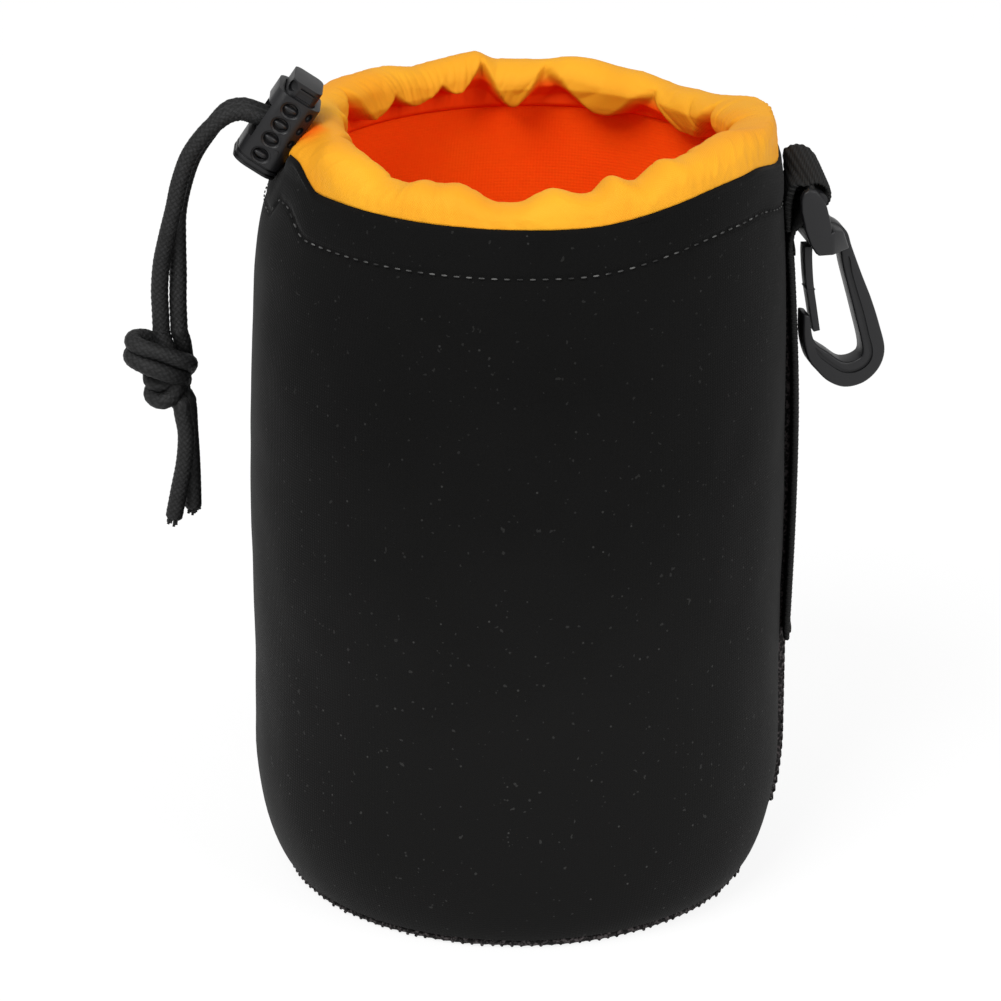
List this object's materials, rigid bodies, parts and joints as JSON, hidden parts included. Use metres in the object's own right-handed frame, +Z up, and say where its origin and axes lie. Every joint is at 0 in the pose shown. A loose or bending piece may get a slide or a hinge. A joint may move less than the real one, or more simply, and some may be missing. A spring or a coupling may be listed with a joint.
{
  "type": "drawstring lens pouch",
  "caption": "Padded cylindrical lens pouch with a gathered drawstring collar, push-button cord lock, webbing belt loop and a plastic snap hook.",
  "frame": {"origin": "centre of the underside of the base, on the plane the pouch stands on", "axes": "+Z up through the mouth, -Y towards the camera of the picture, +X towards the strap and the snap hook"},
  "size_m": [0.1353, 0.0944, 0.1524],
  "materials": {
    "jersey_black": "knitted jersey on foam rubber, matt",
    "lining_orange": "knitted lining, matt",
    "nylon_orange": "plain-woven nylon with a soft sheen",
    "thread_black": "polyester thread",
    "thread_pale": "polyester thread",
    "webbing_black": "ribbed polyester webbing",
    "cord_black": "braided polyester cord",
    "plastic_black": "moulded acetal, fine grain",
    "spring_steel": "drawn wire"
  },
  "bodies": {
    "pouch": {"neoprene_wall": "jersey_black", "base_disc": "jersey_black", "wall_lining": "lining_orange", "base_lining": "lining_orange", "base_seam": "thread_black", "side_seam": "thread_black", "rim_stitching": "thread_pale", "gathered_collar": "nylon_orange", "drawcord_loop": "cord_black", "side_strap": "webbing_black", "bartack_rim": "thread_black", "bartack_upper": "thread_black", "bartack_lower": "thread_black", "drawcord_front_strand": "cord_black", "drawcord_back_strand": "cord_black", "drawcord_knot": "cord_black", "drawcord_front_tail": "cord_black", "drawcord_back_tail": "cord_black"},
    "cord_lock": {"lock_barrel": "plastic_black", "lock_spring": "spring_steel"},
    "plunger": {"lock_plunger": "plastic_black"},
    "snap_hook": {"hook_frame": "plastic_black"},
    "gate": {"hook_gate": "plastic_black"}
  },
  "joints": [
    {"name": "lock_slide", "type": "slide", "parent": "pouch", "child": "cord_lock", "axis": [-0.9564, 0, 0.2921], "range_m": [0, 0.002]},
    {"name": "plunger_push", "type": "slide", "parent": "cord_lock", "child": "plunger", "axis": [-0.5548, 0, -0.832], "range_m": [0, 0.0024], "stiffness_N_per_m": 500, "springref_m": -0.002, "deforming": ["lock_spring"]},
    {"name": "hook_swing", "type": "hinge", "parent": "pouch", "child": "snap_hook", "pos_m": [0.0509, 0, 0.1263], "axis": [0.2079, -0.9781, 0], "range_deg": [0, 90]},
    {"name": "gate_bend", "type": "hinge", "parent": "snap_hook", "child": "gate", "pos_m": [0.05076, -0.00003, 0.11604], "axis": [0.2079, -0.9781, 0], "range_deg": [0, 18], "stiffness_Nm_per_rad": 0.05, "springref_deg": -5.73}
  ]
}
